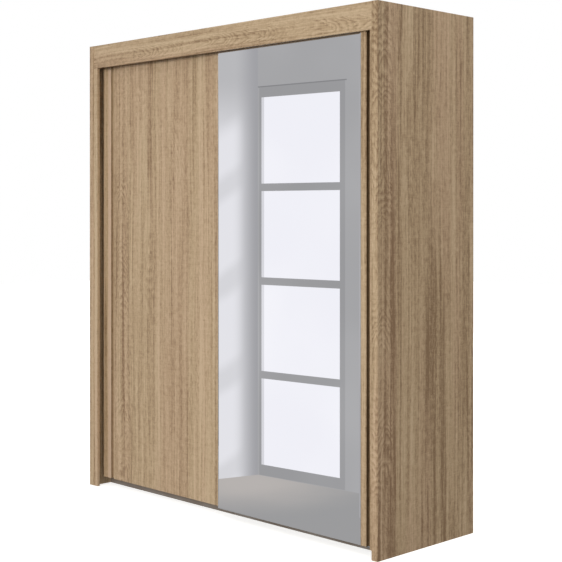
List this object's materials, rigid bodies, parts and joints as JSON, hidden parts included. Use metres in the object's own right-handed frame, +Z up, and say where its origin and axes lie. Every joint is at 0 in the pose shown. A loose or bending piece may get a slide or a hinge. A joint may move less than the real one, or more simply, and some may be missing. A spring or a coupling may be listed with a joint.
{
  "type": "sliding door wardrobe",
  "caption": "Tall wardrobe with oak-decor side panels and cornice, a timber door and a mirrored door that slide past each other on a top track, shelves and a hanging rail inside.",
  "frame": {"origin": "on the floor at the centre of the width and of the depth, the bottom centre of the bounding box", "axes": "+X to the right seen from the front, +Y from the front to the back, +Z up"},
  "size_m": [1.8, 0.6, 2.1],
  "materials": {
    "oak_side": "embossed light oak decor, vertical grain",
    "oak_front": "embossed light oak decor",
    "oak_inside": "smooth light oak decor",
    "plinth_board": "grey-brown decor",
    "back_board": "printed hardboard",
    "beech_dowel": "raw turned beech",
    "mirror": "silvered glass with a narrow bevel",
    "aluminium": "satin extrusion",
    "zinc_steel": "zinc plated",
    "chrome": "polished",
    "pale_plastic": "moulded",
    "dark_plastic": "moulded",
    "black_pile": "short pile and foam tape"
  },
  "bodies": {
    "carcase": {"left_side_panel": "oak_side", "right_side_panel": "oak_side", "top_panel": "oak_inside", "base_panel": "oak_inside", "centre_partition": "oak_inside", "back_panel_left": "back_board", "back_panel_right": "back_board", "back_joint_strip": "back_board", "rear_fixing_rail": "oak_inside", "plinth_front": "plinth_board", "plinth_rear": "plinth_board", "levelling_feet": "dark_plastic", "cornice": "oak_front", "cornice_dowels": "beech_dowel", "cornice_blocks": "pale_plastic", "left_closing_strip": "oak_front", "right_closing_strip": "oak_front", "top_track": "aluminium", "track_screws": "zinc_steel", "track_buffers": "dark_plastic", "bottom_guide_rail": "aluminium", "guide_rail_screws": "zinc_steel", "hat_shelf_left": "oak_inside", "hat_shelf_right": "oak_inside", "shelf_1": "oak_inside", "shelf_2": "oak_inside", "shelf_3": "oak_inside", "shelf_pins": "zinc_steel", "hanging_rail": "chrome", "rail_sockets": "chrome", "cam_locks": "zinc_steel", "connecting_bolts": "zinc_steel", "partition_dowels": "beech_dowel", "back_nails": "zinc_steel"},
    "timber_door": {"door_panel": "oak_front", "door_handle_strip": "oak_front", "door_hanger_left": "zinc_steel", "door_hanger_right": "zinc_steel", "door_screws": "zinc_steel", "door_axles": "zinc_steel", "door_guide_brackets": "zinc_steel", "door_gliders": "dark_plastic"},
    "mirror_door": {"mirror_board": "oak_front", "mirror_glass": "mirror", "mirror_tape": "black_pile", "mirror_handle_strip": "oak_front", "mirror_hanger_left": "zinc_steel", "mirror_hanger_right": "zinc_steel", "mirror_screws": "zinc_steel", "mirror_axles": "zinc_steel", "mirror_guide_brackets": "zinc_steel", "mirror_gliders": "dark_plastic", "mirror_brush_seal": "black_pile"},
    "door_roller_left": {"door_roller_left": "pale_plastic"},
    "door_roller_right": {"door_roller_right": "pale_plastic"},
    "mirror_roller_left": {"mirror_roller_left": "pale_plastic"},
    "mirror_roller_right": {"mirror_roller_right": "pale_plastic"}
  },
  "joints": [
    {"name": "timber_door_slide", "type": "slide", "parent": "carcase", "child": "timber_door", "axis": [1, 0, 0], "range_m": [0, 0.848]},
    {"name": "mirror_door_slide", "type": "slide", "parent": "carcase", "child": "mirror_door", "axis": [-1, 0, 0], "range_m": [0, 0.848]},
    {"name": "door_roller_left_spin", "type": "hinge", "parent": "timber_door", "child": "door_roller_left", "pos_m": [-0.827, -0.227, 2.0468], "axis": [0, 1, 0], "continuous": true},
    {"name": "door_roller_right_spin", "type": "hinge", "parent": "timber_door", "child": "door_roller_right", "pos_m": [-0.021, -0.227, 2.0468], "axis": [0, 1, 0], "continuous": true},
    {"name": "mirror_roller_left_spin", "type": "hinge", "parent": "mirror_door", "child": "mirror_roller_left", "pos_m": [0.0355, -0.252, 2.0468], "axis": [0, -1, 0], "continuous": true},
    {"name": "mirror_roller_right_spin", "type": "hinge", "parent": "mirror_door", "child": "mirror_roller_right", "pos_m": [0.8125, -0.252, 2.0468], "axis": [0, -1, 0], "continuous": true}
  ],
  "couplings": [
    {"joint": "door_roller_left_spin", "follows": "timber_door_slide", "rad_per_m": 83.333},
    {"joint": "door_roller_right_spin", "follows": "timber_door_slide", "rad_per_m": 83.333},
    {"joint": "mirror_roller_left_spin", "follows": "mirror_door_slide", "rad_per_m": 83.333},
    {"joint": "mirror_roller_right_spin", "follows": "mirror_door_slide", "rad_per_m": 83.333}
  ]
}
